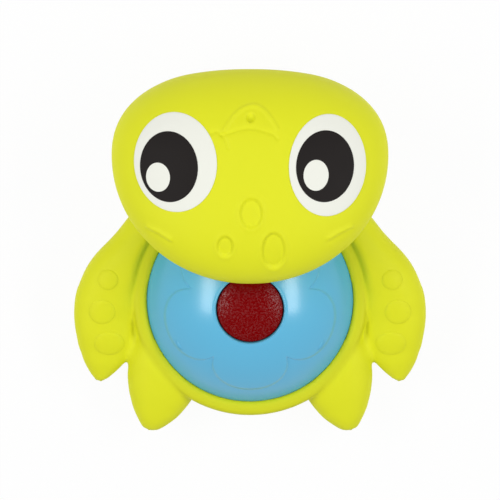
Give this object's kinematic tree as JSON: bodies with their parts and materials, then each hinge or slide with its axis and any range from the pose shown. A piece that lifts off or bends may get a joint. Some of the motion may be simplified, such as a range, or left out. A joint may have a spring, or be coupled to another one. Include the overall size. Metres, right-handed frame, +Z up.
{
  "type": "squeaky bath toy",
  "caption": "Soft vinyl turtle lying on its back, with a big head, four flippers, a domed belly with a raised flower, and a push button that works a bellows squeaker inside.",
  "frame": {"origin": "on the ground, below the middle of the toy's width and length", "axes": "+Z up through the belly, +Y toward the head, +X to the right when the belly is looked at"},
  "size_m": [0.1276, 0.1354, 0.0678],
  "materials": {
    "vinyl_green": "matte soft vinyl",
    "eye_white": "printed, satin",
    "eye_black": "printed, satin",
    "dome_blue": "glossy",
    "button_red": "finely textured, glossy",
    "bellows_skin": "soft, milky",
    "reed_plastic": "smooth",
    "reed_brass": "thin sheet",
    "tray_plastic": "moulded",
    "screw_steel": "zinc plated"
  },
  "bodies": {
    "toy": {"head_shell": "vinyl_green", "body_shell": "vinyl_green", "eye_whites": "eye_white", "eye_pupils": "eye_black", "eye_glints": "eye_white", "belly_dome": "dome_blue", "squeaker_bellows": "bellows_skin", "reed_sleeve": "reed_plastic", "reed_shallot": "reed_plastic", "reed_tongue": "reed_brass", "squeaker_tray": "tray_plastic", "tray_screws": "screw_steel"},
    "button": {"belly_button": "button_red"}
  },
  "joints": [
    {"name": "button_press", "type": "slide", "parent": "toy", "child": "button", "axis": [0, 0, -1], "range_m": [0, 0.0035], "stiffness_N_per_m": 1000, "springref_m": -0.001, "deforming": ["squeaker_bellows"]}
  ]
}
